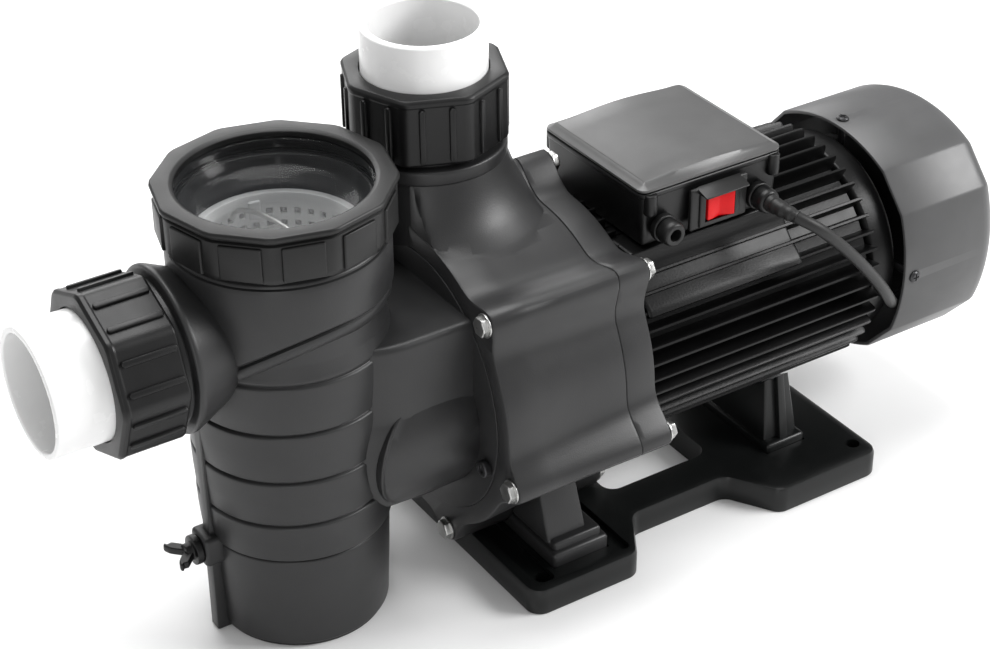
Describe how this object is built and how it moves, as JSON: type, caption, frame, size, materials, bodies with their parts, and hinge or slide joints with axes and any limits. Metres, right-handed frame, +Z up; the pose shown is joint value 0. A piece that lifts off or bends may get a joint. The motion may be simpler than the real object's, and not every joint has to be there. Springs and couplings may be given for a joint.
{
  "type": "pool pump",
  "caption": "Self-priming pool pump with a strainer pot under a clear screwed lid, union pipe ends and a fan-cooled motor on one base.",
  "frame": {"origin": "on the ground, at the middle of the whole pump's footprint", "axes": "+X along the motor axis from the strainer to the fan, +Z up, the switch on the -Y side"},
  "size_m": [0.5566, 0.1886, 0.292],
  "materials": {
    "body_plastic": "satin moulded charcoal plastic",
    "nut_plastic": "black moulded plastic",
    "base_plastic": "semi-gloss black plastic",
    "cowl_paint": "satin grey",
    "motor_casting": "black painted casting",
    "white_pvc": "smooth white plastic",
    "clear_lid": "clear polished plastic",
    "basket_plastic": "light grey moulded plastic",
    "red_rocker": "glossy red plastic",
    "rubber": "matt black rubber",
    "steel": "zinc plated steel",
    "dark_steel": "blackened steel",
    "copper": "enamelled copper wire",
    "ceramic": "ground ceramic"
  },
  "bodies": {
    "pump_body": {"base_plate": "base_plastic", "pump_foot": "body_plastic", "motor_foot": "base_plastic", "strainer_body": "body_plastic", "inlet_o_ring": "rubber", "outlet_o_ring": "rubber", "volute_casing": "body_plastic", "motor_flange": "body_plastic", "seal_plate": "body_plastic", "casing_bolt_1": "steel", "casing_bolt_2": "steel", "casing_bolt_3": "steel", "casing_bolt_4": "steel", "casing_bolt_5": "steel", "casing_bolt_6": "steel", "cover_screw_1": "dark_steel", "cover_screw_2": "dark_steel", "cover_screw_3": "dark_steel", "seal_seat": "ceramic", "front_bearing_outer": "steel", "rear_bearing_outer": "steel", "stator": "steel", "stator_winding": "copper", "motor_housing": "motor_casting", "rear_shield": "motor_casting", "fan_cover": "cowl_paint", "fan_cover_screw_1": "dark_steel", "fan_cover_screw_2": "dark_steel", "fan_cover_screw_3": "dark_steel", "fan_cover_screw_4": "dark_steel", "terminal_box": "nut_plastic", "terminal_box_lid": "cowl_paint", "run_capacitor": "white_pvc", "terminal_block": "white_pvc", "switch_plate": "nut_plastic", "spare_gland": "nut_plastic", "cord_gland": "nut_plastic", "power_cord": "rubber"},
    "rotor_group": {"motor_shaft": "steel", "rotor": "steel", "impeller": "nut_plastic", "impeller_nut": "steel", "cooling_fan": "nut_plastic", "front_bearing_inner": "steel", "rear_bearing_inner": "steel", "seal_rotor": "rubber"},
    "lid": {"strainer_lid": "clear_lid", "lid_o_ring": "rubber"},
    "screw_ring": {"lid_ring": "nut_plastic"},
    "strainer_basket": {"basket": "basket_plastic"},
    "bail": {"basket_handle": "steel"},
    "suction_pipe": {"inlet_pipe": "white_pvc"},
    "suction_nut": {"inlet_nut": "nut_plastic"},
    "return_pipe": {"outlet_pipe": "white_pvc"},
    "return_nut": {"outlet_nut": "nut_plastic"},
    "plug": {"drain_plug": "nut_plastic"},
    "rocker": {"switch_rocker": "red_rocker"}
  },
  "joints": [
    {"name": "rotor_spin", "type": "hinge", "parent": "pump_body", "child": "rotor_group", "pos_m": [0, 0, 0.111], "axis": [1, 0, 0], "continuous": true},
    {"name": "lid_lift", "type": "slide", "parent": "pump_body", "child": "lid", "axis": [0, 0, 1], "range_m": [0, 0.28]},
    {"name": "lid_ring_turn", "type": "hinge", "parent": "lid", "child": "screw_ring", "pos_m": [-0.1435, 0, 0.239], "axis": [0, 0, 1], "continuous": true},
    {"name": "basket_lift", "type": "slide", "parent": "pump_body", "child": "strainer_basket", "axis": [0, 0, 1], "range_m": [0, 0.17]},
    {"name": "bail_swing", "type": "hinge", "parent": "strainer_basket", "child": "bail", "pos_m": [-0.1435, 0, 0.214], "axis": [-0.1736, 0.9848, 0], "range_deg": [-75, 75]},
    {"name": "inlet_pipe_pull", "type": "slide", "parent": "pump_body", "child": "suction_pipe", "axis": [-1, 0, 0], "range_m": [0, 0.05]},
    {"name": "inlet_nut_turn", "type": "hinge", "parent": "suction_pipe", "child": "suction_nut", "pos_m": [-0.2322, 0, 0.178], "axis": [1, 0, 0], "continuous": true},
    {"name": "outlet_pipe_pull", "type": "slide", "parent": "pump_body", "child": "return_pipe", "axis": [0, 0, 1], "range_m": [0, 0.05]},
    {"name": "outlet_nut_turn", "type": "hinge", "parent": "return_pipe", "child": "return_nut", "pos_m": [-0.0377, 0.0355, 0.25], "axis": [0, 0, 1], "continuous": true},
    {"name": "drain_plug_turn", "type": "hinge", "parent": "pump_body", "child": "plug", "pos_m": [-0.2027, 0, 0.054], "axis": [1, 0, 0], "continuous": true},
    {"name": "switch_rock", "type": "hinge", "parent": "pump_body", "child": "rocker", "pos_m": [0.0893, -0.043, 0.187], "axis": [0, 0, 1], "range_deg": [0, 12]}
  ],
  "couplings": [
    {"joint": "basket_lift", "follows": "lid_lift", "ratio": 0.6}
  ]
}
